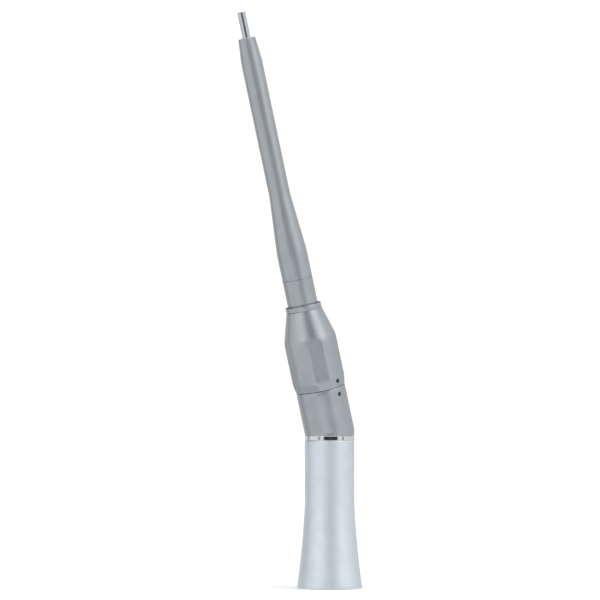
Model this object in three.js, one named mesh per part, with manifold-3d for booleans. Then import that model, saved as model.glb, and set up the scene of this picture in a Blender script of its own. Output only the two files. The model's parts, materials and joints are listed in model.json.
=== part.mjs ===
// An angled, long-nosed straight dental handpiece with a twist-ring chuck, holding a plain shank.
// Millimetres. The rear half turns about +Z, with the origin at the centre of its rear rim. The
// front half turns about an axis that leans from +Z towards -X. Lengths along the front half are
// counted from the bend, where the two axes meet.
import * as THREE from "three";
import { mergeVertices } from "three/addons/utils/BufferGeometryUtils.js";
import Module from "manifold-3d";

const wasm = await Module();
wasm.setup();

// ---- Driving dimensions -------------------------------------------------------------------
const BEND_ANGLE = THREE.MathUtils.degToRad(15);
const BEND_Z = 46.5;
const HAND_R = 7.38; // outer radius of the slim rear parts
const FIT = 0.05; // radial clearance of a fitted piece
const FACE_GAP = 0.1; // axial gap between two faces that meet

// Rear sleeve and coupling
const SLEEVE_TOP = 43.8;
const FLARE_TOP = 26;
const RIM_R = 9.74;
const FLARE_POWER = 1.48;
const TRIM_TOP = 45.2;
const COUPLING_R = 6.3; // bore that takes the motor's nose
const COUPLING_DEPTH = 24.5;
const COUPLING_OUTER_R = 6.9;

// Drive train
const SHAFT_R = 2;
const GEAR_SPIGOT_R = 1.45;
const GEAR_R = 4.9;
const GEAR_TEETH = 16;
const DOG_TRAVEL = 1.5;

// Twist ring and chuck
const SEAM = 13.3; // between the angled body and the twist ring
const RING_R = 7.84;
const RING_CHAMFER_TOP = 15.6;
const RING_SHOULDER = 28.4;
const RING_FRONT = 37.3;
const RING_FRONT_R = 5.3;
const RING_FLATS = 5;
const FLAT_HALF_ANGLE = THREE.MathUtils.degToRad(15.6);
const MARK_ANGLE = THREE.MathUtils.degToRad(-82.4);
const MARK_R = 0.66;
const RING_TURN = THREE.MathUtils.degToRad(60);
const RELEASE_TRAVEL = 1.2;
const PIN_R = 0.6;

// Nose
const COLLAR_END = 38.8;
const NOSE_BASE_R = 4.49;
const NOSE_SEAM = 46.8;
const TAPER_START = 54.6;
const TAPER_END = 72.5;
const NOSE_R = 3.12;
const TIP_TAPER = 112.4;
const TIP = 119.25;
const TIP_R = 2.51;
const SHANK_R = 1.175;
const SHANK_END = 127;
const SHANK_LENGTH = 44.5;

// How finely round pieces are faceted
const OUTER_SIDES = 36;
const NOSE_SIDES = 28;
const INNER_SIDES = 20;
const SMALL_SIDES = 12;
const WIRE_SIDES = 5;

// ---- Materials ----------------------------------------------------------------------------
function metal(name, color, roughness, metalness = 1) {
  return new THREE.MeshStandardMaterial({ name, color, roughness, metalness });
}
const satinSteel = metal("satin_steel", 0xa3a5a8, 0.42);
const satinSleeve = metal("satin_sleeve", 0xc6cbd2, 0.45);
const polishedSteel = metal("polished_steel", 0xd6d8da, 0.08);
const shaftSteel = metal("shaft_steel", 0xb4b6b8, 0.25);
const springSteel = metal("spring_steel", 0x8f9296, 0.3);
const brassBush = metal("bush_brass", 0xb8954f, 0.35);
const markPaint = metal("mark_paint", 0x2a2b2e, 0.6, 0);
const sealRubber = metal("seal_rubber", 0x202022, 0.8, 0);

// ---- Solids -------------------------------------------------------------------------------
function solid(geometry) {
  const bare = geometry.clone();
  bare.deleteAttribute("normal");
  bare.deleteAttribute("uv");
  const merged = mergeVertices(bare, 1e-4);
  const index = merged.index.array;
  const kept = [];
  for (let i = 0; i < index.length; i += 3) {
    const [a, b, c] = [index[i], index[i + 1], index[i + 2]];
    if (a !== b && b !== c && c !== a) kept.push(a, b, c);
  }
  return new wasm.Manifold(
    new wasm.Mesh({
      numProp: 3,
      vertProperties: new Float32Array(merged.attributes.position.array),
      triVerts: new Uint32Array(kept),
    }),
  );
}

function geometryOf(body) {
  const mesh = body.getMesh();
  return new THREE.BufferGeometry()
    .setAttribute("position", new THREE.BufferAttribute(mesh.vertProperties, 3))
    .setIndex(new THREE.BufferAttribute(mesh.triVerts, 1));
}

function cut(body, ...tools) {
  return tools.reduce((rest, tool) => rest.subtract(tool), body);
}

function join(body, ...others) {
  return others.reduce((sum, other) => sum.add(other), body);
}

// A body of revolution about Z. The outline's [radius, z] points run up the outside and down
// the inside, and the outline closes on itself.
function turned(outline, sides = INNER_SIDES) {
  const points = outline.map(([r, z]) => new THREE.Vector2(r, z));
  points.push(points[0].clone());
  return solid(new THREE.LatheGeometry(points, sides).rotateX(Math.PI / 2));
}

function tube(innerR, outerR, z0, z1, sides = INNER_SIDES) {
  return turned([[innerR, z0], [outerR, z0], [outerR, z1], [innerR, z1]], sides);
}

function rod(radius, z0, z1, sides = INNER_SIDES) {
  return turned([[0, z0], [radius, z0], [radius, z1], [0, z1]], sides);
}

function box(size, centre) {
  return solid(new THREE.BoxGeometry(...size).translate(...centre));
}

// A cylinder that points away from the axis at the given angle, from radius r0 to r1.
function radialRod(radius, r0, r1, z, angle, sides = SMALL_SIDES) {
  const geometry = new THREE.CylinderGeometry(radius, radius, r1 - r0, sides);
  geometry.rotateZ(-Math.PI / 2).translate((r0 + r1) / 2, 0, z).rotateZ(angle);
  return solid(geometry);
}

// A round wire along a curve through the given points.
function wire(points, radius, steps) {
  const section = new THREE.Shape();
  for (let i = 0; i < WIRE_SIDES; i++) {
    const angle = (i / WIRE_SIDES) * 2 * Math.PI;
    section[i ? "lineTo" : "moveTo"](radius * Math.cos(angle), radius * Math.sin(angle));
  }
  section.closePath();
  const extrudePath = new THREE.CatmullRomCurve3(points);
  return solid(new THREE.ExtrudeGeometry(section, { steps, extrudePath }));
}

function coilSpring(meanR, wireR, z0, z1, coils) {
  const stepsPerCoil = 8;
  const steps = coils * stepsPerCoil;
  const points = [];
  for (let i = 0; i <= steps; i++) {
    const angle = (i / stepsPerCoil) * 2 * Math.PI;
    const z = THREE.MathUtils.lerp(z0 + wireR, z1 - wireR, i / steps);
    points.push(new THREE.Vector3(meanR * Math.cos(angle), meanR * Math.sin(angle), z));
  }
  return wire(points, wireR, steps);
}

// ---- The scene ----------------------------------------------------------------------------
const handpiece = new THREE.Group();
const rear = new THREE.Group();
const front = new THREE.Group();
front.position.z = BEND_Z;
front.rotation.y = -BEND_ANGLE;
handpiece.add(rear, front);

function place(group, name, body, material) {
  const mesh = new THREE.Mesh(geometryOf(body), material);
  mesh.name = name;
  group.add(mesh);
}

// ---- Bearings -----------------------------------------------------------------------------
// Each bearing has an outer race, an inner race and a set of balls in a cage between them.
const LARGE_BEARING = { bore: 2.05, innerWall: 2.75, outerWall: 4.15, outside: 5, width: 3 };
const NOSE_BEARING = { bore: 2.1, innerWall: 2.45, outerWall: 3.15, outside: 3.5, width: 2.2 };
const TIP_BEARING = { bore: 1.6, innerWall: 1.8, outerWall: 2.28, outside: 2.5, width: 2 };
const SPINDLE_BEARING_Z = 3.4;
const NOSE_BEARING_Z = 41;
const TIP_BEARING_Z = 110;
const NOSE_BEARING_END = NOSE_BEARING_Z + NOSE_BEARING.width + 0.2;
const TIP_BEARING_END = TIP_BEARING_Z + TIP_BEARING.width + 0.2;
const OUTER_SPACER_R = [4.45, 4.98];
const BALLS = 6;
const RACE_GAP = 0.1;

// Points of the groove that the balls run in, from high to low, on the given side of the pitch.
function groove(pitchR, wallR, radius, middle, side) {
  const points = [];
  const reach = Math.sqrt(radius ** 2 - (wallR - pitchR) ** 2);
  for (const share of [1, 0, -1]) {
    const offset = share * reach;
    points.push([pitchR + side * Math.sqrt(radius ** 2 - offset ** 2), middle + offset]);
  }
  return points;
}

function bearing(group, name, size, z0) {
  const { bore, innerWall, outerWall, outside, width } = size;
  const z1 = z0 + width;
  const middle = z0 + width / 2;
  const pitchR = (innerWall + outerWall) / 2;
  const ballR = (outerWall - innerWall) / 2 + 0.05;
  const grooveR = ballR + RACE_GAP;
  const outerGroove = groove(pitchR, outerWall, grooveR, middle, 1);
  const innerGroove = groove(pitchR, innerWall, grooveR, middle, -1).reverse();
  const outerRace = [[outerWall, z0], [outside, z0], [outside, z1], [outerWall, z1], ...outerGroove];
  const innerRace = [[bore, z0], [innerWall, z0], ...innerGroove, [innerWall, z1], [bore, z1]];
  const cageHalf = ballR * 0.3;
  const [cageBottom, cageTop] = [middle - ballR * 0.6, middle + ballR * 0.6];
  let balls = tube(pitchR - cageHalf, pitchR + cageHalf, cageBottom, cageTop, 2 * BALLS);
  for (let i = 0; i < BALLS; i++) {
    const ball = new THREE.OctahedronGeometry(ballR, 1).translate(pitchR, 0, middle);
    balls = balls.add(solid(ball.rotateZ((i / BALLS) * 2 * Math.PI)));
  }
  place(group, `${name}_outer_race`, turned(outerRace), shaftSteel);
  place(group, `${name}_inner_race`, turned(innerRace), shaftSteel);
  place(group, `${name}_balls`, balls, polishedSteel);
}

// ---- Rear shell and coupling --------------------------------------------------------------
function sleeveRadius(z) {
  if (z >= FLARE_TOP) return HAND_R;
  return HAND_R + (RIM_R - HAND_R) * ((FLARE_TOP - z) / FLARE_TOP) ** FLARE_POWER;
}

function rearSleeve() {
  const boreR = COUPLING_OUTER_R + FIT;
  const edge = 0.25;
  const outline = [[boreR, 0], [RIM_R - edge, 0]];
  for (const z of [edge, 4, 8, 12, 16, 20, FLARE_TOP]) outline.push([sleeveRadius(z), z]);
  outline.push([HAND_R, SLEEVE_TOP - edge], [HAND_R - edge, SLEEVE_TOP], [boreR, SLEEVE_TOP]);
  return turned(outline, OUTER_SIDES);
}

const CLIP_Z = 8;
const PARTITION_TOP = 31;
const COUPLING_TOP = 36;
const POCKET_R = LARGE_BEARING.outside + FIT;

function couplingTube() {
  const partitionR = 3.6;
  const clipGroove = 0.35;
  return turned([
    [COUPLING_R, 0.5],
    [COUPLING_OUTER_R, 0.5],
    [COUPLING_OUTER_R, COUPLING_TOP],
    [POCKET_R, COUPLING_TOP],
    [POCKET_R, PARTITION_TOP],
    [partitionR, PARTITION_TOP],
    [partitionR, COUPLING_DEPTH],
    [COUPLING_R, COUPLING_DEPTH],
    [COUPLING_R, CLIP_Z + clipGroove],
    [COUPLING_R + clipGroove, CLIP_Z + clipGroove],
    [COUPLING_R + clipGroove, CLIP_Z - clipGroove],
    [COUPLING_R, CLIP_Z - clipGroove],
  ]);
}

// A spring clip in the bore's groove, open over a short arc.
function retainingClip() {
  const radius = 0.24;
  const openArc = THREE.MathUtils.degToRad(50);
  const steps = 16;
  const points = [];
  for (let i = 0; i <= steps; i++) {
    const angle = openArc / 2 + (i / steps) * (2 * Math.PI - openArc);
    const ringR = COUPLING_R + 0.02;
    points.push(new THREE.Vector3(ringR * Math.cos(angle), ringR * Math.sin(angle), CLIP_Z));
  }
  return wire(points, radius, steps);
}

function trimRing() {
  const [z0, z1, edge] = [SLEEVE_TOP + FIT, TRIM_TOP - FIT, 0.1];
  const boreR = COUPLING_OUTER_R;
  return turned(
    [
      [boreR, z0],
      [HAND_R - edge, z0],
      [HAND_R, z0 + edge],
      [HAND_R, z1 - edge],
      [HAND_R - edge, z1],
      [boreR, z1],
    ],
    OUTER_SIDES,
  );
}

place(rear, "rear_sleeve", rearSleeve(), satinSleeve);
place(rear, "coupling_tube", couplingTube(), shaftSteel);
place(rear, "retaining_clip", retainingClip(), springSteel);
place(rear, "trim_ring", trimRing(), polishedSteel);

// ---- Angled body --------------------------------------------------------------------------
const CHAMBER_R = 5.3; // room for the two crown gears at the bend
const CHAMBER_DEPTH = 3.2;
const SPIGOT_BOTTOM = 36.4;
const SOCKET_R = 6.35;
const SOCKET_BOTTOM = 9.4;
const BODY_TOP = SEAM - 0.05;

// The half space behind the mitre plane through the bend, as a large block that stops short of
// the plane by the given distance.
function behindMitre(short) {
  const side = 60;
  const block = new THREE.BoxGeometry(side, side, side).translate(0, 0, -side / 2 - short);
  return solid(block.rotateY(-BEND_ANGLE / 2).translate(0, 0, BEND_Z));
}

function towardsFront(body) {
  front.updateMatrix();
  return body.transform(front.matrix.elements);
}

// Two turned shapes, one about each axis, each cut at the mitre plane and joined there, with a
// slight lap.
function mitred(rearShape, frontShape) {
  const lap = 0.02;
  const rearHalf = rearShape.intersect(behindMitre(0));
  return rearHalf.add(towardsFront(frontShape).subtract(behindMitre(lap)));
}

function markPocket(radius, z) {
  return radialRod(MARK_R + FIT, radius - 0.4, radius + 1, z, MARK_ANGLE);
}

const BODY_MARK = 11.2;

function angledBody() {
  const beyond = 6; // how far each half runs past the bend before it is cut
  const spigotR = COUPLING_OUTER_R - 2 * FIT;
  const outside = mitred(
    join(
      rod(spigotR, SPIGOT_BOTTOM, TRIM_TOP + 1, OUTER_SIDES),
      rod(HAND_R, TRIM_TOP, BEND_Z + beyond, OUTER_SIDES),
    ),
    rod(HAND_R, -beyond, BODY_TOP, OUTER_SIDES),
  );
  const inside = mitred(
    join(
      rod(POCKET_R, SPIGOT_BOTTOM - 1, BEND_Z),
      rod(CHAMBER_R, BEND_Z - CHAMBER_DEPTH, BEND_Z + beyond),
    ),
    join(
      rod(CHAMBER_R, -beyond, CHAMBER_DEPTH),
      rod(POCKET_R, 0, SOCKET_BOTTOM + 1),
      rod(SOCKET_R, SOCKET_BOTTOM, BODY_TOP + 1),
    ),
  );
  return cut(outside, inside, towardsFront(markPocket(HAND_R, BODY_MARK)));
}

function mark(radius, z) {
  const disc = radialRod(MARK_R, radius - 0.35, radius + 1, z, MARK_ANGLE);
  return disc.intersect(rod(radius + 0.02, z - 2, z + 2, OUTER_SIDES));
}

place(handpiece, "angled_body", angledBody(), satinSteel);
place(front, "body_mark", mark(HAND_R, BODY_MARK), markPaint);

// ---- Rear drive shaft, with its sprung dog ------------------------------------------------
const DOG_BOTTOM = 20.5;
const DOG_TOP = 26;
const DOG_R = 2.9;
const DOG_PIN_Z = 24.6;
const DOG_PIN_R = 0.5;
const REAR_BEARING_Z = PARTITION_TOP + FACE_GAP;
const MIDDLE_BEARING_Z = 39.9;
const SHAFT_FRONT = 43.1;

function rearShaft() {
  const [bottom, top] = [21.5, BEND_Z - 0.7];
  const outline = [
    [0, bottom],
    [SHAFT_R - FIT, bottom],
    [SHAFT_R - FIT, SHAFT_FRONT],
    [GEAR_SPIGOT_R, SHAFT_FRONT],
    [GEAR_SPIGOT_R, top],
    [0, top],
  ];
  return cut(turned(outline), radialRod(DOG_PIN_R + FIT, -SHAFT_R - 1, SHAFT_R + 1, DOG_PIN_Z, 0));
}

function driveDog() {
  const notchDepth = 1.4;
  const notch = box([2 * DOG_R + 2, 1.9, 2 * notchDepth], [0, 0, DOG_BOTTOM]);
  const windowBottom = DOG_PIN_Z - DOG_PIN_R - DOG_TRAVEL - FACE_GAP;
  const windowTop = DOG_PIN_Z + DOG_PIN_R + FACE_GAP;
  const windowSize = [2 * DOG_R + 2, 2 * DOG_PIN_R + FACE_GAP, windowTop - windowBottom];
  const pinWindow = box(windowSize, [0, 0, (windowBottom + windowTop) / 2]);
  const sideways = new THREE.Matrix4().makeRotationZ(Math.PI / 2).elements;
  return cut(tube(SHAFT_R, DOG_R, DOG_BOTTOM, DOG_TOP), pinWindow, notch.transform(sideways));
}

function spacer(innerR, outerR) {
  const z0 = REAR_BEARING_Z + LARGE_BEARING.width + FACE_GAP;
  return tube(innerR, outerR, z0, MIDDLE_BEARING_Z - FACE_GAP);
}

const dogSpringTop = REAR_BEARING_Z - FACE_GAP;
const dogPin = radialRod(DOG_PIN_R, -DOG_R + FACE_GAP, DOG_R - FACE_GAP, DOG_PIN_Z, 0);
place(rear, "rear_shaft", rearShaft(), shaftSteel);
place(rear, "drive_dog", driveDog(), shaftSteel);
place(rear, "dog_pin", dogPin, shaftSteel);
place(rear, "dog_spring", coilSpring(2.45, 0.22, DOG_TOP + 0.05, dogSpringTop, 4), springSteel);
place(rear, "rear_inner_spacer", spacer(LARGE_BEARING.bore, 2.7), shaftSteel);
place(rear, "rear_outer_spacer", spacer(...OUTER_SPACER_R), shaftSteel);
bearing(rear, "rear_bearing", LARGE_BEARING, REAR_BEARING_Z);
bearing(rear, "middle_bearing", LARGE_BEARING, MIDDLE_BEARING_Z);

// ---- Crown gears --------------------------------------------------------------------------
// The two gears are mirror images in the mitre plane, half a tooth apart. Each pitch cone has
// its apex at the bend, and the cones touch on the inner side of the bend.
const ADDENDUM = 0.28;
const DEDENDUM = 0.4;
const TOOTH_INNER = 3.6;

function gearTooth(angle) {
  const [baseHalf, tipHalf, sunk] = [0.375, 0.19, 0.1];
  const outline = new THREE.Shape();
  outline.moveTo(-baseHalf, -DEDENDUM - sunk);
  outline.lineTo(baseHalf, -DEDENDUM - sunk);
  outline.lineTo(tipHalf, ADDENDUM);
  outline.lineTo(-tipHalf, ADDENDUM);
  outline.closePath();
  const depth = GEAR_R - TOOTH_INNER;
  const tooth = new THREE.ExtrudeGeometry(outline, { depth, bevelEnabled: false });
  const across = new THREE.Vector3(0, -1, 0);
  const towardsBend = new THREE.Vector3(0, 0, -1);
  const outwards = new THREE.Vector3(1, 0, 0);
  tooth.translate(0, 0, TOOTH_INNER);
  tooth.applyMatrix4(new THREE.Matrix4().makeBasis(across, towardsBend, outwards));
  return solid(tooth.rotateY(-BEND_ANGLE / 2).rotateZ(angle));
}

// A crown gear in front of the bend, facing it.
function crownGear(firstTooth) {
  const slope = Math.tan(BEND_ANGLE / 2);
  const boreR = GEAR_SPIGOT_R + FIT;
  const [hubR, rimThickness, length] = [2.9, 0.9, 2.9];
  const rootAtRim = GEAR_R * slope + DEDENDUM;
  const blank = turned([
    [boreR, boreR * slope + DEDENDUM],
    [GEAR_R, rootAtRim],
    [GEAR_R, rootAtRim + rimThickness],
    [hubR, length],
    [boreR, length],
  ]);
  const pitch = (2 * Math.PI) / GEAR_TEETH;
  const teeth = Array.from({ length: GEAR_TEETH }, (_, i) => gearTooth((firstTooth + i) * pitch));
  return join(blank, ...teeth);
}

// Turns a shape about X at the bend, so that it faces the front half from behind.
function facingForward(body) {
  const turn = new THREE.Matrix4().makeTranslation(0, 0, BEND_Z);
  turn.multiply(new THREE.Matrix4().makeRotationX(Math.PI));
  return body.transform(turn.elements);
}

place(rear, "rear_gear", facingForward(crownGear(0.5)), shaftSteel);
place(front, "spindle_gear", crownGear(0), shaftSteel);

// ---- Spindle, drawbar and collet ----------------------------------------------------------
const SPINDLE_R = 2.05;
const SPINDLE_TIP_R = 1.53;
const SPINDLE_TIP_START = 104;
const SPINDLE_END = TIP + 0.15;
const DRAWBAR_START = 15;
const DRAWBAR_R = 1.25;
const DRAWBAR_SPIGOT_R = 0.8;
const KEY_Z = 27.3;
const KEY_REACH = 3.35;
const COLLET_START = 77.5;
const COLLET_END = 96;
const SHANK_START = SHANK_END - SHANK_LENGTH;
const DRAW_END = SHANK_START - RELEASE_TRAVEL - 0.2; // clear of the shank when released
const HEAD_BORE_R = 1.78; // room that the collet's head opens into

function spindle() {
  const [boreR, guideR, edge] = [1.55, SHANK_R + FIT, 0.1];
  const [spigotStart, spigotEnd] = [0.65, 3];
  const chamberEnd = COLLET_END + RELEASE_TRAVEL + 1;
  const outline = [
    [0, spigotStart],
    [GEAR_SPIGOT_R, spigotStart],
    [GEAR_SPIGOT_R, spigotEnd],
    [SPINDLE_R - FIT, spigotEnd],
    [SPINDLE_R - FIT, SPINDLE_TIP_START],
    [SPINDLE_TIP_R, SPINDLE_TIP_START],
    [SPINDLE_TIP_R, SPINDLE_END - edge],
    [SPINDLE_TIP_R - edge, SPINDLE_END],
    [guideR, SPINDLE_END],
    [guideR, chamberEnd + 0.5],
    [HEAD_BORE_R, chamberEnd],
    [HEAD_BORE_R, COLLET_END],
    [boreR, COLLET_END - 4],
    [boreR, DRAWBAR_START - 1],
    [0, DRAWBAR_START - 1],
  ];
  const slotLength = 2 * PIN_R + RELEASE_TRAVEL + 3 * FACE_GAP;
  const slotMiddle = KEY_Z + RELEASE_TRAVEL / 2;
  const keySlot = box([8, 2 * PIN_R + FACE_GAP, slotLength], [0, 0, slotMiddle]);
  return cut(turned(outline, INNER_SIDES), keySlot);
}

function drawbar() {
  const outline = [
    [0, DRAWBAR_START],
    [DRAWBAR_R, DRAWBAR_START],
    [DRAWBAR_R, COLLET_START - FACE_GAP],
    [DRAWBAR_SPIGOT_R, COLLET_START - FACE_GAP],
    [DRAWBAR_SPIGOT_R, DRAW_END],
    [0, DRAW_END],
  ];
  return cut(turned(outline, SMALL_SIDES), radialRod(PIN_R + FIT, -2, 2, KEY_Z, 0));
}

function collet() {
  const [tailR, headR, gripR] = [1.46, 1.66, SHANK_R + 0.03];
  const body = turned(
    [
      [DRAWBAR_SPIGOT_R + FIT, COLLET_START],
      [tailR, COLLET_START],
      [tailR, COLLET_END - 4],
      [headR, COLLET_END],
      [gripR, COLLET_END],
      [gripR, DRAW_END],
      [DRAWBAR_SPIGOT_R + FIT, DRAW_END],
    ],
  );
  const [jaws, slotWidth, slotLength] = [3, 0.3, 11];
  let slotted = body;
  for (let i = 0; i < jaws; i++) {
    const slot = new THREE.BoxGeometry(2, slotWidth, slotLength);
    slot.translate(1, 0, COLLET_END + 1 - slotLength / 2).rotateZ((i / jaws) * 2 * Math.PI);
    slotted = slotted.subtract(solid(slot));
  }
  return slotted;
}

const springSeatStart = KEY_Z + PIN_R + FACE_GAP;
const springSeatEnd = springSeatStart + 0.55;
const springStopStart = 36;
const chuckSpring = coilSpring(2.8, 0.28, springSeatEnd + 0.05, springStopStart - 0.05, 6);
const frontSpacerStart = SPINDLE_BEARING_Z + LARGE_BEARING.width + 0.2;
const frontSpacer = tube(...OUTER_SPACER_R, frontSpacerStart, SOCKET_BOTTOM - FACE_GAP);
place(front, "spindle", spindle(), shaftSteel);
place(front, "spring_stop", tube(SPINDLE_R, 3.3, springStopStart, springStopStart + 0.8), shaftSteel);
place(front, "drawbar", drawbar(), shaftSteel);
place(front, "draw_key", radialRod(PIN_R, -KEY_REACH, KEY_REACH, KEY_Z, 0), shaftSteel);
place(front, "spring_seat", tube(2.15, 3.3, springSeatStart, springSeatEnd), shaftSteel);
place(front, "chuck_spring", chuckSpring, springSteel);
place(front, "collet", collet(), shaftSteel);
place(front, "front_spacer", frontSpacer, shaftSteel);
bearing(front, "spindle_bearing", LARGE_BEARING, SPINDLE_BEARING_Z);
bearing(front, "nose_bearing", NOSE_BEARING, NOSE_BEARING_Z);
bearing(front, "tip_bearing", TIP_BEARING, TIP_BEARING_Z);

// ---- Chuck release ------------------------------------------------------------------------
// Two pins stand out of the release sleeve, through straight slots in the guide tube and into
// helical slots in the cam sleeve. Turning the ring and its cam sleeve moves the release sleeve
// forward, and its front flange pushes the draw key.
const PIN_Z = 20;
const GUIDE_R = 5.9;
const GUIDE_BORE_R = 5.2;
const GUIDE_END = 31.2;
const CAM_R = 6.6;
const CAM_BORE_R = 6;
const CAM_END = 29.5;
const SLOT_R = PIN_R + 0.1;
const CAM_SLOT_R = PIN_R + 0.2;

function guideTube() {
  const flangeTop = SEAM - 0.4;
  const body = turned([
    [GUIDE_BORE_R, SOCKET_BOTTOM + FACE_GAP],
    [SOCKET_R - FIT, SOCKET_BOTTOM + FACE_GAP],
    [SOCKET_R - FIT, flangeTop],
    [GUIDE_R, flangeTop],
    [GUIDE_R, GUIDE_END],
    [GUIDE_BORE_R, GUIDE_END],
  ]);
  const straight = box([2 * GUIDE_R + 2, 2 * SLOT_R, RELEASE_TRAVEL], [0, 0, PIN_Z + RELEASE_TRAVEL / 2]);
  const ends = [PIN_Z, PIN_Z + RELEASE_TRAVEL].map((z) => radialRod(SLOT_R, -8, 8, z, 0));
  const ballHole = radialRod(DETENT_R + FIT, 4.5, 7, DETENT_Z, Math.PI / 2);
  return cut(body, straight, ...ends, ballHole);
}

function camSleeve() {
  const trackR = CAM_BORE_R + 0.25;
  const body = turned([
    [CAM_BORE_R + FIT, SEAM + 0.3],
    [CAM_R, SEAM + 0.3],
    [CAM_R, CAM_END],
    [trackR, CAM_END],
    [trackR, DETENT_Z - 0.6],
    [CAM_BORE_R + FIT, DETENT_Z - 0.6],
  ]);
  const steps = 8;
  let slotted = body;
  for (const start of [0, Math.PI]) {
    for (let i = 0; i <= steps; i++) {
      const z = PIN_Z + (i / steps) * RELEASE_TRAVEL;
      const angle = start - (i / steps) * RING_TURN;
      slotted = slotted.subtract(radialRod(CAM_SLOT_R, 5.5, 7.2, z, angle));
    }
  }
  return slotted;
}

function releaseSleeve() {
  const [boreR, flangeR, start, end] = [4.3, 2.6, 17, 26.4];
  const body = turned([
    [boreR, start],
    [GUIDE_BORE_R - FIT, start],
    [GUIDE_BORE_R - FIT, end],
    [flangeR, end],
    [flangeR, end - 1],
    [boreR, end - 1],
  ]);
  return cut(body, radialRod(PIN_R + FIT, -7, 7, PIN_Z, 0));
}

const DETENT_Z = 29;
const DETENT_R = 0.5;

// A short spring that pushes the detent ball outwards from the nose base.
function detentSpring() {
  const upright = coilSpring(0.28, 0.09, 4.05, 5, 3);
  const lie = new THREE.Matrix4().makeTranslation(0, 0, DETENT_Z);
  lie.multiply(new THREE.Matrix4().makeRotationX(-Math.PI / 2));
  return upright.transform(lie.elements);
}

const detentBall = new THREE.OctahedronGeometry(DETENT_R, 1).translate(0, 5.58, DETENT_Z);
place(front, "guide_tube", guideTube(), shaftSteel);
place(front, "cam_sleeve", camSleeve(), shaftSteel);
place(front, "release_sleeve", releaseSleeve(), brassBush);
place(front, "release_pin_a", radialRod(PIN_R, 4.35, 6.5, PIN_Z, 0), shaftSteel);
place(front, "release_pin_b", radialRod(PIN_R, 4.35, 6.5, PIN_Z, Math.PI), shaftSteel);
place(front, "detent_ball", solid(detentBall), polishedSteel);
place(front, "detent_spring", detentSpring(), springSteel);

// ---- Twist ring ---------------------------------------------------------------------------
const RING_MARK = 15.15;

// The outside of the ring: a chamfer, a cylinder, a rounded shoulder and a cone.
function ringOutside() {
  const slope = (RING_R - RING_FRONT_R) / (RING_FRONT - RING_SHOULDER);
  const roundR = 8;
  const lean = Math.atan(slope);
  const reach = roundR * Math.tan(lean / 2);
  const points = [[HAND_R, SEAM + 0.1], [RING_R, RING_CHAMFER_TOP]];
  const steps = 4;
  for (let i = 0; i <= steps; i++) {
    const angle = (i / steps) * lean;
    const inward = roundR * (1 - Math.cos(angle));
    points.push([RING_R - inward, RING_SHOULDER - reach + roundR * Math.sin(angle)]);
  }
  points.push([RING_FRONT_R, RING_FRONT]);
  return points;
}

function twistRing() {
  const mouthR = NOSE_BASE_R + 0.14;
  const body = turned(
    [
      [CAM_R + FIT, SEAM + 0.1],
      ...ringOutside(),
      [mouthR, RING_FRONT],
      [mouthR, GUIDE_END + 0.3],
      [GUIDE_R + 0.15, GUIDE_END + 0.3],
      [GUIDE_R + 0.15, CAM_END + FACE_GAP],
      [CAM_R + FIT, CAM_END + FACE_GAP],
    ],
    OUTER_SIDES,
  );
  const flatDistance = RING_R * Math.cos(FLAT_HALF_ANGLE);
  const pitch = (2 * Math.PI) / RING_FLATS;
  let flatted = body;
  for (let i = 0; i < RING_FLATS; i++) {
    const block = new THREE.BoxGeometry(4, 12, 40).translate(flatDistance + 2, 0, RING_FRONT - 20);
    flatted = flatted.subtract(solid(block.rotateZ(MARK_ANGLE + (i + 0.5) * pitch)));
  }
  return flatted.subtract(markPocket(RING_R, RING_MARK));
}

function ringMark() {
  const disc = radialRod(MARK_R, RING_R - 0.35, RING_R + 1, RING_MARK, MARK_ANGLE);
  return disc.intersect(turned([[0, SEAM], ...ringOutside(), [0, RING_FRONT]], OUTER_SIDES));
}

place(front, "twist_ring", twistRing(), satinSteel);
place(front, "ring_mark", ringMark(), markPaint);

// ---- Nose ---------------------------------------------------------------------------------
const SEAL_Z = 34.6;
const NOSE_BORE_R = NOSE_BEARING.outside + FIT;

function noseBase() {
  const [rearR, sealR, sealHalf] = [GUIDE_BORE_R - 0.12, 4, 0.5];
  const [frontR, frontEnd, frontBoreR] = [3.9, 52, 2.9];
  const body = turned([
    [NOSE_BORE_R, 28],
    [rearR, 28],
    [rearR, GUIDE_END],
    [NOSE_BASE_R, GUIDE_END],
    [NOSE_BASE_R, SEAL_Z - sealHalf],
    [sealR, SEAL_Z - sealHalf],
    [sealR, SEAL_Z + sealHalf],
    [NOSE_BASE_R, SEAL_Z + sealHalf],
    [NOSE_BASE_R, NOSE_SEAM],
    [frontR, NOSE_SEAM],
    [frontR, frontEnd],
    [frontBoreR, frontEnd],
    [frontBoreR, NOSE_BEARING_END],
    [NOSE_BORE_R, NOSE_BEARING_END],
  ], NOSE_SIDES);
  return cut(body, radialRod(DETENT_R, 4, 6, DETENT_Z, Math.PI / 2));
}

function sealRing() {
  const torus = new THREE.TorusGeometry(4.3, 0.24, 6, INNER_SIDES);
  return solid(torus.translate(0, 0, SEAL_Z));
}

function collarRing() {
  const [start, edge] = [RING_FRONT + 0.2, 0.2];
  const boreR = NOSE_BASE_R + FIT;
  return turned(
    [
      [boreR, start],
      [RING_FRONT_R - edge, start],
      [RING_FRONT_R + 0.05, start + edge],
      [RING_FRONT_R + 0.05, COLLAR_END - edge],
      [RING_FRONT_R - edge, COLLAR_END],
      [boreR, COLLAR_END],
    ],
    OUTER_SIDES,
  );
}

// The cone from the nose base down to the slim tube, eased a little at both ends.
function taperRadius(z) {
  const share = THREE.MathUtils.clamp((z - TAPER_START) / (TAPER_END - TAPER_START), 0, 1);
  const eased = share * share * (3 - 2 * share);
  return THREE.MathUtils.lerp(NOSE_BASE_R, NOSE_R, 0.85 * share + 0.15 * eased);
}

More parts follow.
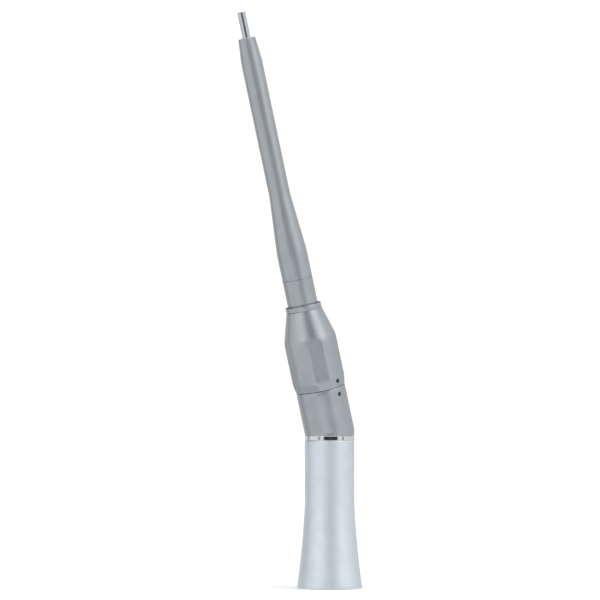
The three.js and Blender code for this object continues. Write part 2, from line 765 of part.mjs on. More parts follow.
function noseTube() {
  const [socketR, socketEnd, boreR, tipBoreR, edge] = [3.95, 52.4, 2.55, 1.65, 0.15];
  const outline = [[socketR, NOSE_SEAM + 0.06], [NOSE_BASE_R, NOSE_SEAM + 0.06]];
  const steps = 7;
  for (let i = 0; i <= steps; i++) {
    const z = THREE.MathUtils.lerp(TAPER_START, TAPER_END, i / steps);
    outline.push([taperRadius(z), z]);
  }
  outline.push(
    [NOSE_R, TIP_TAPER],
    [TIP_R + edge / 3, TIP - edge],
    [TIP_R - edge, TIP],
    [tipBoreR, TIP],
    [tipBoreR, TIP_BEARING_END],
    [boreR, TIP_BEARING_END],
    [boreR, TAPER_END],
    [3.3, socketEnd],
    [socketR, socketEnd],
  );
  return turned(outline, NOSE_SIDES);
}

function shank() {
  const edge = 0.15;
  return turned(
    [
      [0, SHANK_START],
      [SHANK_R - edge, SHANK_START],
      [SHANK_R, SHANK_START + edge],
      [SHANK_R, SHANK_END - edge],
      [SHANK_R - edge, SHANK_END],
      [0, SHANK_END],
    ],
    INNER_SIDES,
  );
}

place(front, "collar_ring", collarRing(), satinSteel);
place(front, "nose_base", noseBase(), satinSteel);
place(front, "seal_ring", sealRing(), sealRubber);
place(front, "nose_tube", noseTube(), satinSteel);
place(front, "shank", shank(), polishedSteel);

export default handpiece;
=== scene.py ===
"""An angled, long-nosed straight dental handpiece with a twist-ring chuck, around its frame.

The rear half turns about +Z. The front half turns about an axis that leans from +Z towards -X and
meets +Z at the bend. Shapes are worked out in millimetres, along the axis of their own half, with
lengths along the front half counted from the bend.
"""
import json
import math

import bmesh
import bpy
from mathutils import Matrix, Vector


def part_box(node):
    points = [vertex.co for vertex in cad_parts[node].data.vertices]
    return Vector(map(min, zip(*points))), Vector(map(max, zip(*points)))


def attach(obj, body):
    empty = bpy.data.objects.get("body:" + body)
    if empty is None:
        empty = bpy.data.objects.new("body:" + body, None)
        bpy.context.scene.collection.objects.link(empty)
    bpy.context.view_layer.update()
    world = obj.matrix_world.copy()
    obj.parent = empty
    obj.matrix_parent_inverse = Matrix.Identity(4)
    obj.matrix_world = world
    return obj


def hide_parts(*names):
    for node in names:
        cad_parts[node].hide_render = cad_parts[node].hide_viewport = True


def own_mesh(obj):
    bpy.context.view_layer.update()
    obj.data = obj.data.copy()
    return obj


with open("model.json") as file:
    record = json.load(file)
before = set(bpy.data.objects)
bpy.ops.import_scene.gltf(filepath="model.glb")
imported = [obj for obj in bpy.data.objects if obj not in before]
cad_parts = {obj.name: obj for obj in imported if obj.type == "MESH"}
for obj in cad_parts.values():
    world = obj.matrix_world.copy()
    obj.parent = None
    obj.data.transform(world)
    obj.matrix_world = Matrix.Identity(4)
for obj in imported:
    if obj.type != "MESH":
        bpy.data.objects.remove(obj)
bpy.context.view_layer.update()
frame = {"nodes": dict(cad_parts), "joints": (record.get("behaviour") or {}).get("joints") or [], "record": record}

MM = 0.001
record = frame["record"]


# ---- The two halves -----------------------------------------------------------------------
def joint_named(name):
    return next(joint for joint in frame["joints"] if joint["name"] == name)


front_joint = joint_named("ring_turn")
front_axis = Vector(front_joint["axis"])
BEND_ANGLE = math.atan2(-front_axis.x, front_axis.z)
BEND_Z = front_joint["pos_m"][2] / MM
REAR = Matrix.Identity(4)
FRONT = Matrix.Translation((0, 0, BEND_Z * MM)) @ Matrix.Rotation(-BEND_ANGLE, 4, "Y")


def span(node, half):
    """A node's lowest and highest point along its half's axis, and its outer and inner radius."""
    to_local = half.inverted()
    points = [to_local @ vertex.co / MM for vertex in frame["nodes"][node].data.vertices]
    heights = [point.z for point in points]
    radii = [point.xy.length for point in points]
    return min(heights), max(heights), max(radii), min(radii)


# ---- Driving dimensions, from the frame ---------------------------------------------------
SLEEVE_BOTTOM, SLEEVE_TOP, RIM_R, SLEEVE_BORE_R = span("rear_sleeve", REAR)
_, TRIM_TOP, HAND_R, TRIM_BORE_R = span("trim_ring", REAR)
COUPLING_BOTTOM, COUPLING_TOP, COUPLING_OUTER_R, _ = span("coupling_tube", REAR)
RING_BOTTOM, RING_FRONT, RING_R, RING_MOUTH_R = span("twist_ring", FRONT)
_, COLLAR_END, COLLAR_R, COLLAR_BORE_R = span("collar_ring", FRONT)
BASE_START, BASE_SPIGOT_END, BASE_SPIGOT_R, BASE_BORE_R = span("nose_base", FRONT)
NOSE_START, TIP, NOSE_BASE_R, TIP_BORE_R = span("nose_tube", FRONT)
SHANK_START, SHANK_END, SHANK_R, _ = span("shank", FRONT)
_, BODY_TOP, _, _ = span("angled_body", FRONT)

# ---- Dimensions inside the pieces, as in the frame ----------------------------------------
# Sleeve and coupling, along the rear axis.
FLARE_TOP = 26
FLARE_POWER = 1.48
COUPLING_R = 6.3
COUPLING_DEPTH = 24.5
PARTITION_TOP = 31
CLIP_Z = 8
# Elbow: bearing pockets, gear chamber, and the socket for the nose.
POCKET_R = 5.05
CHAMBER_R = 5.3
CHAMBER_DEPTH = 3.2
SPIGOT_BOTTOM = 36.4
SOCKET_R = 6.35
SOCKET_BOTTOM = 9.4
# Twist ring. The rounds are the radii of the shoulder and of the chamfered foot's upper edge.
RING_CHAMFER_TOP = 15.6
RING_SHOULDER = 28.4
RING_FRONT_R = 5.3
RING_FLATS = 5
FLAT_HALF_ANGLE = math.radians(15.6)
SHOULDER_ROUND = 8
FOOT_ROUND = 7
CAM_POCKET_R = 6.65
GUIDE_POCKET_R = 6.05
CAM_POCKET_END = 29.6
GUIDE_POCKET_END = 31.5
GUIDE_END = 31.2
# Nose.
NOSE_SEAM = 46.8
TAPER_START = 54.6
TAPER_END = 72.5
NOSE_R = 3.12
TIP_TAPER = 112.4
TIP_R = 2.51
# Alignment marks.
MARK_ANGLE = math.radians(-82.4)
MARK_R = 0.66
BODY_MARK = 11.2
RING_MARK = 15.15

# ---- Camera -------------------------------------------------------------------------------
VIEW_AZIMUTH = math.radians(-37.6)
VIEW_PITCH = math.radians(2.93)
VIEW_DISTANCE = 786.3
VIEW_ASIDE = 8.8
VIEW_HEIGHT = 45.5
SENSOR_WIDTH = 36
FOCAL_LENGTH = 158


def add_camera():
    """Looks from the given azimuth, from a point that lies aside of the line to the rear axis."""
    towards = Vector((math.sin(VIEW_AZIMUTH), -math.cos(VIEW_AZIMUTH), 0))
    right = Vector((math.cos(VIEW_AZIMUTH), math.sin(VIEW_AZIMUTH), 0))
    place = towards * VIEW_DISTANCE - right * VIEW_ASIDE
    place.z = VIEW_HEIGHT
    looking = Vector((0, 0, math.sin(VIEW_PITCH))) - towards * math.cos(VIEW_PITCH)
    camera = bpy.data.objects.new("camera", bpy.data.cameras.new("camera"))
    camera.data.sensor_width = SENSOR_WIDTH
    camera.data.lens = FOCAL_LENGTH
    camera.location = place * MM
    camera.rotation_euler = looking.to_track_quat("-Z", "Y").to_euler()
    bpy.context.scene.collection.objects.link(camera)
    bpy.context.scene.camera = camera


add_camera()


# ---- Node helpers -------------------------------------------------------------------------
# The Mix node's sockets for colours, which share their names with its other sockets.
MIX_FIRST, MIX_SECOND, MIX_RESULT = 6, 7, 2


class Tree:
    """Short calls for making shader nodes."""

    def __init__(self, tree):
        self.tree = tree

    def node(self, kind, **settings):
        made = self.tree.nodes.new(kind)
        for name, value in settings.items():
            setattr(made, name, value)
        return made

    def link(self, source, target):
        if isinstance(source, bpy.types.NodeSocket):
            self.tree.links.new(source, target)
        else:
            target.default_value = source

    def math(self, operation, first, second=0.0, clamp=False):
        made = self.node("ShaderNodeMath", operation=operation, use_clamp=clamp)
        self.link(first, made.inputs[0])
        self.link(second, made.inputs[1])
        return made.outputs[0]

    def ramp(self, value, stops):
        """Maps a value from 0 to 1 between two (position, colour) stops."""
        made = self.node("ShaderNodeValToRGB")
        for element, (position, colour) in zip(made.color_ramp.elements, stops):
            element.position = position
            element.color = (*colour, 1)
        self.link(value, made.inputs[0])
        return made.outputs[0]

    def between(self, value, low, high, to_low=0.0, to_high=1.0, smooth=False):
        """Maps a value between low and high to one between to_low and to_high."""
        made = self.node("ShaderNodeMapRange", clamp=True)
        if smooth:
            made.interpolation_type = "SMOOTHSTEP"
        for socket, given in zip(made.inputs, (value, low, high, to_low, to_high)):
            self.link(given, socket)
        return made.outputs[0]

    def mix(self, factor, first, second, blend="MIX"):
        made = self.node("ShaderNodeMix", data_type="RGBA", blend_type=blend)
        self.link(factor, made.inputs[0])
        self.link(first, made.inputs[MIX_FIRST])
        self.link(second, made.inputs[MIX_SECOND])
        return made.outputs[MIX_RESULT]

    def noise(self, vector, scale, detail=3.0, roughness=0.55):
        made = self.node("ShaderNodeTexNoise")
        self.link(vector, made.inputs["Vector"])
        made.inputs["Scale"].default_value = scale
        made.inputs["Detail"].default_value = detail
        made.inputs["Roughness"].default_value = roughness
        return made.outputs["Fac"]

    def rings(self, place, scale, detail=2.0):
        """Noise that only changes along Z: rings around the axis of a half."""
        along = self.node("ShaderNodeSeparateXYZ")
        self.link(place, along.inputs[0])
        made = self.node("ShaderNodeTexNoise", noise_dimensions="1D")
        self.link(along.outputs["Z"], made.inputs["W"])
        made.inputs["Scale"].default_value = scale
        made.inputs["Detail"].default_value = detail
        return made.outputs["Fac"]


def grey(value):
    return (value, value, value)


def shade(colour, factor):
    return tuple(min(1.0, channel * factor) for channel in colour)


# ---- Materials ----------------------------------------------------------------------------
def start_material(name, half=REAR, metallic=0):
    """A material with its shader, and coordinates in metres whose Z runs along the half's axis."""
    material = bpy.data.materials.new(name)
    material.use_nodes = True
    tree = Tree(material.node_tree)
    shader = material.node_tree.nodes["Principled BSDF"]
    shader.inputs["Metallic"].default_value = metallic
    place = tree.node("ShaderNodeTexCoord").outputs["Object"]
    if half is FRONT:
        along_front = tree.node("ShaderNodeMapping", vector_type="TEXTURE")
        along_front.inputs["Location"].default_value = FRONT.to_translation()
        along_front.inputs["Rotation"].default_value = FRONT.to_euler()
        tree.link(place, along_front.inputs["Vector"])
        place = along_front.outputs[0]
    return material, tree, shader, place


def add_bump(tree, shader, height, depth, strength):
    """Relief of a depth in millimetres."""
    bump = tree.node("ShaderNodeBump")
    bump.inputs["Distance"].default_value = depth * MM
    bump.inputs["Strength"].default_value = strength
    tree.link(height, bump.inputs["Height"])
    tree.link(bump.outputs[0], shader.inputs["Normal"])


def worn_share(tree, place):
    """How far an edge is rubbed bright: the mesh's own edge weight, broken up by noise."""
    weight = tree.node("ShaderNodeAttribute", attribute_name="edge_wear").outputs["Fac"]
    patches = tree.between(tree.noise(place, scale=900), 0.42, 0.62)
    return tree.math("MULTIPLY", weight, patches)


def blasted_metal(name, colour, roughness, half, wear=0.5):
    """Fine bead-blasted metal: a tight grain, faint clouding, handling marks and rubbed edges."""
    material, tree, shader, place = start_material(name, half, metallic=1)
    unevenness = 0.035
    clouds = tree.noise(place, scale=260, detail=4)
    grain = tree.noise(place, scale=9000, detail=2, roughness=0.6)
    handling = tree.noise(place, scale=120, detail=5, roughness=0.6)
    cloud_colour = tree.ramp(clouds, [(0.3, shade(colour, 0.965)), (0.7, shade(colour, 1.035))])
    grain_tone = tree.ramp(grain, [(0.3, grey(0.94)), (0.7, grey(1.0))])
    ground = tree.mix(1.0, cloud_colour, grain_tone, "MULTIPLY")
    worn = tree.math("MULTIPLY", worn_share(tree, place), wear)
    tree.link(tree.mix(worn, ground, (*shade(colour, 1.35), 1)), shader.inputs["Base Color"])
    handled = tree.between(handling, 0.35, 0.7, roughness + unevenness, roughness - unevenness)
    specks = tree.between(grain, 0.3, 0.7, -0.03, 0.03)
    matt = tree.math("ADD", handled, specks)
    rubbed = tree.math("MULTIPLY", worn, 0.25)
    tree.link(tree.math("SUBTRACT", matt, rubbed, clamp=True), shader.inputs["Roughness"])
    add_bump(tree, shader, grain, depth=0.006, strength=0.35)
    return material


def turned_metal(name, colour, roughness, half, depth=0.003):
    """Metal off a lathe: fine rings along the axis, and a faint stain."""
    material, tree, shader, place = start_material(name, half, metallic=1)
    unevenness = 0.05
    rings = tree.rings(place, scale=14000, detail=3)
    stain = tree.noise(place, scale=500, detail=4)
    base = tree.ramp(stain, [(0.3, shade(colour, 0.9)), (0.7, shade(colour, 1.06))])
    ring_tone = tree.ramp(rings, [(0.3, grey(0.88)), (0.7, grey(1.0))])
    tree.link(tree.mix(1.0, base, ring_tone, "MULTIPLY"), shader.inputs["Base Color"])
    stained = tree.between(stain, 0.3, 0.7, roughness + unevenness, roughness - unevenness)
    tree.link(stained, shader.inputs["Roughness"])
    add_bump(tree, shader, rings, depth, strength=0.5)
    return material


def polished_metal(name, colour, roughness, half):
    """Mirror-polished metal with hairline polishing rings and a breath of haze."""
    material, tree, shader, place = start_material(name, half, metallic=1)
    haziness = 0.05
    rings = tree.rings(place, scale=9000)
    haze = tree.noise(place, scale=700, detail=5)
    base = tree.ramp(haze, [(0.35, shade(colour, 0.97)), (0.7, shade(colour, 1.02))])
    tree.link(base, shader.inputs["Base Color"])
    hazed = tree.between(haze, 0.4, 0.75, roughness, roughness + haziness)
    tree.link(hazed, shader.inputs["Roughness"])
    add_bump(tree, shader, rings, depth=0.0006, strength=0.2)
    return material


def wire_metal(name, colour, half):
    """Drawn spring wire: dark, with drawing scratches that catch the light."""
    material, tree, shader, place = start_material(name, half, metallic=1)
    scratches = tree.noise(place, scale=5200, detail=6, roughness=0.7)
    tint = tree.ramp(scratches, [(0.35, shade(colour, 0.75)), (0.65, shade(colour, 1.2))])
    tree.link(tint, shader.inputs["Base Color"])
    tree.link(tree.between(scratches, 0.3, 0.7, 0.42, 0.24), shader.inputs["Roughness"])
    add_bump(tree, shader, scratches, depth=0.004, strength=0.4)
    return material


def filled_paint(name, colour, half):
    """Dark paint baked into an engraved dot: matt, and a little grainy."""
    material, tree, shader, place = start_material(name, half)
    grain = tree.noise(place, scale=6500)
    tint = tree.ramp(grain, [(0.3, shade(colour, 0.7)), (0.7, shade(colour, 1.4))])
    tree.link(tint, shader.inputs["Base Color"])
    tree.link(tree.between(grain, 0.3, 0.7, 0.7, 0.5), shader.inputs["Roughness"])
    add_bump(tree, shader, grain, depth=0.01, strength=0.4)
    return material


def moulded_rubber(name, colour, half):
    """A moulded seal: black, matt, with a fine flow texture."""
    material, tree, shader, place = start_material(name, half)
    flow = tree.noise(place, scale=2400, detail=5, roughness=0.6)
    tint = tree.ramp(flow, [(0.3, shade(colour, 0.7)), (0.7, shade(colour, 1.3))])
    tree.link(tint, shader.inputs["Base Color"])
    tree.link(tree.between(flow, 0.3, 0.7, 0.85, 0.65), shader.inputs["Roughness"])
    add_bump(tree, shader, flow, depth=0.01, strength=0.3)
    return material


# Base colours of the finishes.
SATIN_STEEL = (0.472, 0.505, 0.536)
SATIN_SLEEVE = (0.79, 0.865, 0.93)
POLISHED_REAR = (0.74, 0.76, 0.765)
POLISHED_FRONT = (0.6, 0.62, 0.69)
SHAFT = (0.6, 0.61, 0.62)
BALLS = (0.72, 0.73, 0.74)
WIRE = (0.4, 0.41, 0.43)
BRASS = (0.72, 0.55, 0.3)
PAINT = (0.02, 0.021, 0.024)
RUBBER = (0.018, 0.018, 0.02)


def polished_steel(name, half):
    """The trim ring in the rear half is whiter than the shank in the front half."""
    return polished_metal(name, POLISHED_FRONT if half is FRONT else POLISHED_REAR, 0.06, half)


# What makes each slot's material.
MAKERS = {
    "satin_steel": lambda name, half: blasted_metal(name, SATIN_STEEL, 0.34, half),
    "satin_sleeve": lambda name, half: blasted_metal(name, SATIN_SLEEVE, 0.46, half, wear=0.3),
    "polished_steel": polished_steel,
    "shaft_steel": lambda name, half: turned_metal(name, SHAFT, 0.27, half),
    "ball_steel": lambda name, half: polished_metal(name, BALLS, 0.1, half),
    "spring_steel": lambda name, half: wire_metal(name, WIRE, half),
    "bush_brass": lambda name, half: turned_metal(name, BRASS, 0.32, half, depth=0.004),
    "mark_paint": lambda name, half: filled_paint(name, PAINT, half),
    "seal_rubber": lambda name, half: moulded_rubber(name, RUBBER, half),
}
slot_of = {part["node"]: part["material_slot"] for part in record["subparts"]}
body_of = {node: body for body, nodes in record["behaviour"]["bodies"].items() for node in nodes}
made_materials = {}


def material_for(slot, half):
    """One material for each slot and half."""
    name = f"{slot}_{'front' if half is FRONT else 'rear'}"
    if name not in made_materials:
        made_materials[name] = MAKERS[slot](name, half)
    return made_materials[name]


# ---- Mesh helpers -------------------------------------------------------------------------
SIDES = 180
ARC_STEPS = 6
# The distance from a rounded corner to the plain row beside it.
SUPPORT = 0.12
# Edges that turn by more than SHARP are shaded as edges, and corners that turn by more than
# WORN_TURN are worn.
SHARP = math.radians(24)
WORN_TURN = math.radians(20)
MERGE_DISTANCE = 1e-4


def rounded(corners):
    """Rows (radius, height, wear) of an outline whose corners (radius, height, round) are rounded.

    Each rounded corner is an arc, with a plain row close to each of its ends. A corner whose round
    is 0 stays a single row.
    """
    rows = []
    count = len(corners)
    for i, (radius, height, fillet) in enumerate(corners):
        here = Vector((radius, height))
        if not fillet:
            rows.append((radius, height, 0.0))
            continue
        back = Vector(corners[i - 1][:2]) - here
        ahead = Vector(corners[(i + 1) % count][:2]) - here
        half_angle = back.angle(ahead) / 2
        reach = fillet / math.tan(half_angle)
        wear = 1.0 if math.pi - 2 * half_angle > WORN_TURN else 0.0
        middle = (back.normalized() + ahead.normalized()).normalized()
        centre = here + middle * fillet / math.sin(half_angle)
        start = here + back.normalized() * reach
        end = here + ahead.normalized() * reach
        if back.length > reach + 2 * SUPPORT:
            rows.append((*(start + back.normalized() * SUPPORT), 0.0))
        for step in range(ARC_STEPS + 1):
            arm = (start - centre).slerp(end - centre, step / ARC_STEPS).normalized() * fillet
            rows.append((*(centre + arm), wear))
        if ahead.length > reach + 2 * SUPPORT:
            rows.append((*(end + ahead.normalized() * SUPPORT), 0.0))
    return rows


def skin(name, rows, columns, point, sharp=SHARP):
    """A closed mesh from rows of points. point(row, column) gives a place in millimetres."""
    mesh = bpy.data.meshes.new(name)
    bm = bmesh.new()
    wear = bm.verts.layers.float.new("edge_wear")
    grid = [[bm.verts.new(point(row, i) * MM) for i in range(columns)] for row in rows]
    for row, line in zip(rows, grid):
        for vertex in line:
            vertex[wear] = row[2]
    for lower, upper in zip(grid, grid[1:] + grid[:1]):
        for i in range(columns):
            j = (i + 1) % columns
            bm.faces.new((lower[i], lower[j], upper[j], upper[i]))
    bmesh.ops.remove_doubles(bm, verts=bm.verts, dist=MERGE_DISTANCE * MM)
    loose = [edge for edge in bm.edges if not edge.link_faces]
    bmesh.ops.delete(bm, geom=loose, context="EDGES")
    bmesh.ops.recalc_face_normals(bm, faces=bm.faces)
    shade_by_angle(bm, sharp)
    bm.to_mesh(mesh)
    bm.free()
    return mesh


def shade_by_angle(bm, sharp):
    for face in bm.faces:
        face.smooth = True
    for edge in bm.edges:
        edge.smooth = len(edge.link_faces) == 2 and edge.calc_face_angle() < sharp


def finish(node, mesh, half):
    """Puts a finished mesh in the place of a CAD node, with that node's body and finish."""
    mesh.transform(half)
    mesh.materials.append(material_for(slot_of[node], half))
    piece = bpy.data.objects.new(f"{node}_finished", mesh)
    bpy.context.scene.collection.objects.link(piece)
    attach(piece, body_of[node])
    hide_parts(node)
    return piece


def finish_turned(node, corners, half):
    """A body of revolution, from corners that run up its outside and down its inside."""

    def point(row, column):
        radius, height, _ = row
        angle = 2 * math.pi * column / SIDES
        return Vector((radius * math.cos(angle), radius * math.sin(angle), height))

    finish(node, skin(node, rounded(corners), SIDES, point), half)


# ---- Rear sleeve, trim ring and coupling --------------------------------------------------
def sleeve_radius(z):
    rise = max(0.0, FLARE_TOP - z) / FLARE_TOP
    return HAND_R + (RIM_R - HAND_R) * rise**FLARE_POWER


def make_rear_sleeve():
    """The flare ends in a narrow rim band, and the top edge has a slim chamfer."""
    rim_band, rim_round, rim_swell = 1.2, 0.3, 0.07
    lead_in = 0.3
    chamfer_in, chamfer_down = 0.12, 0.36
    flare_steps = 26
    band_r = sleeve_radius(rim_band)
    corners = [
        (SLEEVE_BORE_R + lead_in, SLEEVE_BOTTOM, 0.1),
        (band_r + rim_swell, SLEEVE_BOTTOM, rim_round),
        (band_r, rim_band, 0),
    ]
    for step in range(1, flare_steps + 1):
        z = rim_band + (FLARE_TOP - rim_band) * step / flare_steps
        corners.append((sleeve_radius(z), z, 0))
    corners += [
        (HAND_R, SLEEVE_TOP - chamfer_down, 0.08),
        (HAND_R - chamfer_in, SLEEVE_TOP, 0.04),
        (SLEEVE_BORE_R, SLEEVE_TOP, 0.05),
        (SLEEVE_BORE_R, SLEEVE_BOTTOM + lead_in, 0.05),
    ]
    finish_turned("rear_sleeve", corners, REAR)


def make_trim_ring():
    """It sits close on the sleeve, so that hardly any gap shows."""
    seam = 0.01
    chamfer_in, chamfer_up = 0.05, 0.06
    foot = SLEEVE_TOP + seam
    corners = [
        (TRIM_BORE_R, foot, 0.03),
        (HAND_R - chamfer_in, foot, 0.03),
        (HAND_R, foot + chamfer_up, 0.04),
        (HAND_R, TRIM_TOP, 0.06),
        (TRIM_BORE_R, TRIM_TOP, 0.03),
    ]
    finish_turned("trim_ring", corners, REAR)


def make_coupling_tube():
    """The motor's bore with its clip groove, a partition, and the rear bearing's pocket."""
    partition_r = 3.6
    groove = 0.35
    lead_in, lead_up = 0.25, 0.4
    corners = [
        (COUPLING_R + lead_in, COUPLING_BOTTOM, 0.05),
        (COUPLING_OUTER_R, COUPLING_BOTTOM, 0.08),
        (COUPLING_OUTER_R, COUPLING_TOP, 0.05),
        (POCKET_R, COUPLING_TOP, 0.05),
        (POCKET_R, PARTITION_TOP, 0.05),
        (partition_r, PARTITION_TOP, 0.15),
        (partition_r, COUPLING_DEPTH, 0.3),
        (COUPLING_R, COUPLING_DEPTH, 0.15),
        (COUPLING_R, CLIP_Z + groove, 0.05),
        (COUPLING_R + groove, CLIP_Z + groove, 0.05),
        (COUPLING_R + groove, CLIP_Z - groove, 0.05),
        (COUPLING_R, CLIP_Z - groove, 0.05),
        (COUPLING_R, COUPLING_BOTTOM + lead_up, 0.1),
    ]
    finish_turned("coupling_tube", corners, REAR)


make_rear_sleeve()
make_trim_ring()
make_coupling_tube()


# ---- Angled body --------------------------------------------------------------------------
def make_angled_body():
    """One skin about both axes. Close to the bend its rows tilt into the mitre plane."""
    slope = math.tan(BEND_ANGLE / 2)
    seam = 0.05
    tilt_reach = BEND_Z - TRIM_TOP - seam
    step_in = 0.1
    spigot_r = COUPLING_OUTER_R - step_in
    foot = TRIM_TOP + seam - BEND_Z
    near_bend = [-0.6, -0.3, -0.1, 0, 0.1, 0.3, 0.6, tilt_reach]
    chamfer_in, chamfer_down = 0.06, 1.1
    corners = [
        (POCKET_R, SPIGOT_BOTTOM - BEND_Z, 0.05),
        (spigot_r, SPIGOT_BOTTOM - BEND_Z, 0.1),
        (spigot_r, foot, 0),
        (HAND_R, foot, 0.06),
        *[(HAND_R, height, 0) for height in near_bend],
        (HAND_R, BODY_TOP - chamfer_down, 0.3),
        (HAND_R - chamfer_in, BODY_TOP, 0.12),
        (SOCKET_R, BODY_TOP, 0.05),
        (SOCKET_R, SOCKET_BOTTOM, 0),
        (POCKET_R, SOCKET_BOTTOM, 0.05),
        (POCKET_R, CHAMBER_DEPTH, 0),
        (CHAMBER_R, CHAMBER_DEPTH, 0),
        *[(CHAMBER_R, -height, 0) for height in near_bend],
        (CHAMBER_R, -CHAMBER_DEPTH, 0),
        (POCKET_R, -CHAMBER_DEPTH, 0),
    ]

    def point(row, column):
        radius, height, _ = row
        angle = 2 * math.pi * column / SIDES
        x, y = radius * math.cos(angle), radius * math.sin(angle)
        rise = x * slope * max(0.0, 1 - abs(height) / tilt_reach)
        if height <= 0:
            return Vector((x, y, BEND_Z + height + rise))
        return FRONT @ (Vector((x, y, height - rise)) * MM) / MM

    finish("angled_body", skin("angled_body", rounded(corners), SIDES, point), REAR)


make_angled_body()


# ---- Twist ring ---------------------------------------------------------------------------
def make_twist_ring():
    """A ring with flats. Each row has a flat stretch and a round stretch for each of them.

    The flats keep their width down the chamfered foot, where they fade into the round lower edge.
    At the shoulder each ends in an arch.
    """
    flat_distance = RING_R * math.cos(FLAT_HALF_ANGLE)
    lean = math.atan((RING_R - RING_FRONT_R) / (RING_FRONT - RING_SHOULDER))
    shoulder_start = RING_SHOULDER - SHOULDER_ROUND * math.tan(lean / 2)
    arch_steps = 12
    outside = [(HAND_R, RING_BOTTOM, 0.06), (RING_R, RING_CHAMFER_TOP, FOOT_ROUND)]
    for i in reversed(range(arch_steps + 1)):
        radius = flat_distance / math.cos(FLAT_HALF_ANGLE * i / arch_steps)
        turn = math.acos(1 - (RING_R - radius) / SHOULDER_ROUND)
        outside.append((radius, shoulder_start + SHOULDER_ROUND * math.sin(turn), 0))
    outside.append((RING_FRONT_R, RING_FRONT, 0.12))
    corners = [
        (CAM_POCKET_R, RING_BOTTOM, 0.08),
        *outside,
        (RING_MOUTH_R, RING_FRONT, 0.08),
        (RING_MOUTH_R, GUIDE_POCKET_END, 0.05),
        (GUIDE_POCKET_R, GUIDE_POCKET_END, 0.05),
        (GUIDE_POCKET_R, CAM_POCKET_END, 0.05),
        (CAM_POCKET_R, CAM_POCKET_END, 0.05),
    ]
    pitch = 2 * math.pi / RING_FLATS
    flat_columns = 10
    round_columns = 26
    sector = flat_columns + round_columns
    wall_middle = (CAM_POCKET_R + HAND_R) / 2

    def point(row, column):
        radius, height, _ = row
        flat, place = divmod(column, sector)
        below_shoulder = radius > wall_middle and height < shoulder_start
        half = FLAT_HALF_ANGLE if below_shoulder else math.acos(min(1.0, flat_distance / radius))
        if place < flat_columns:
            offset = half * (2 * place / flat_columns - 1)
            if below_shoulder:
                depth = (radius - HAND_R) / (RING_R - HAND_R)
                radius = HAND_R + (flat_distance / math.cos(offset) - HAND_R) * depth
            else:
                radius = radius * math.cos(half) / math.cos(offset)
        else:
            offset = half + (pitch - 2 * half) * (place - flat_columns) / round_columns
        angle = MARK_ANGLE + (flat + 0.5) * pitch + offset
        return Vector((radius * math.cos(angle), radius * math.sin(angle), height))

    crease_shading = math.radians(8)
    mesh = skin("twist_ring", rounded(corners), RING_FLATS * sector, point, crease_shading)
    finish("twist_ring", mesh, FRONT)


make_twist_ring()


# ---- Collar and nose ----------------------------------------------------------------------
def make_collar_ring():
    """It comes close to the front of the twist ring, which turns against it."""
    seam, taper_in, lead_in = 0.06, 0.02, 0.1
    start = RING_FRONT + seam
    corners = [
        (COLLAR_BORE_R, start, 0.05),
        (COLLAR_R - taper_in, start, 0.07),
        (COLLAR_R, COLLAR_END, 0.2),
        (COLLAR_BORE_R + lead_in, COLLAR_END, 0.05),
    ]
    finish_turned("collar_ring", corners, FRONT)


def make_nose_base():
    """The foot of the nose, with the groove beside the collar, and a spigot at each end."""
    spigot_r, spigot_bore = 3.9, 2.9
    bearing_r, bearing_end = BASE_BORE_R + 0.65, 43.4
    groove_depth = 0.28
    groove_r = NOSE_BASE_R - groove_depth
    groove_start, floor_start = COLLAR_END - 0.2, COLLAR_END - 0.1
    floor_end, groove_end = COLLAR_END + 0.3, COLLAR_END + 0.45
    corners = [
        (bearing_r, BASE_START, 0.05),
        (BASE_SPIGOT_R, BASE_START, 0.1),
        (BASE_SPIGOT_R, GUIDE_END, 0.05),
        (NOSE_BASE_R, GUIDE_END, 0),
        (NOSE_BASE_R, groove_start, 0),
        (groove_r, floor_start, 0),
        (groove_r, floor_end, 0),
        (NOSE_BASE_R, groove_end, 0.06),
        (NOSE_BASE_R, NOSE_SEAM, 0.05),
        (spigot_r, NOSE_SEAM, 0),
        (spigot_r, BASE_SPIGOT_END, 0.1),
        (spigot_bore, BASE_SPIGOT_END, 0.1),
        (spigot_bore, bearing_end, 0),
        (bearing_r, bearing_end, 0),
    ]
    finish_turned("nose_base", corners, FRONT)


def taper_radius(z):
    """The nose narrows nearly straight, and eases a little into each end of the taper."""
    easing = 0.15
    share = min(1.0, max(0.0, (z - TAPER_START) / (TAPER_END - TAPER_START)))
    eased = share * share * (3 - 2 * share)
    return NOSE_BASE_R + (NOSE_R - NOSE_BASE_R) * ((1 - easing) * share + easing * eased)


def make_nose_tube():
    """The tube and its tip, with a socket for the nose base and a bore that narrows after it."""
    socket_r, socket_end = 3.95, 52.4
    wide_bore_r, bore_r, tip_bearing_end = 3.3, 2.55, 112.2
    taper_steps = 24
    corners = [(socket_r, NOSE_START, 0), (NOSE_BASE_R, NOSE_START, 0.05)]
    for step in range(taper_steps + 1):
        z = TAPER_START + (TAPER_END - TAPER_START) * step / taper_steps
        corners.append((taper_radius(z), z, 0))
    corners += [
        (NOSE_R, TIP_TAPER, 0),
        (TIP_R, TIP, 0.2),
        (TIP_BORE_R, TIP, 0.08),
        (TIP_BORE_R, tip_bearing_end, 0),
        (bore_r, tip_bearing_end, 0),
        (bore_r, TAPER_END, 0),
        (wide_bore_r, socket_end, 0),
        (socket_r, socket_end, 0),
    ]
    finish_turned("nose_tube", corners, FRONT)


def make_shank():
    corners = [
        (0, SHANK_START, 0),
        (SHANK_R, SHANK_START, 0.15),
        (SHANK_R, SHANK_END, 0.12),
        (0, SHANK_END, 0),
    ]
    finish_turned("shank", corners, FRONT)


make_collar_ring()
make_nose_base()
make_nose_tube()
make_shank()


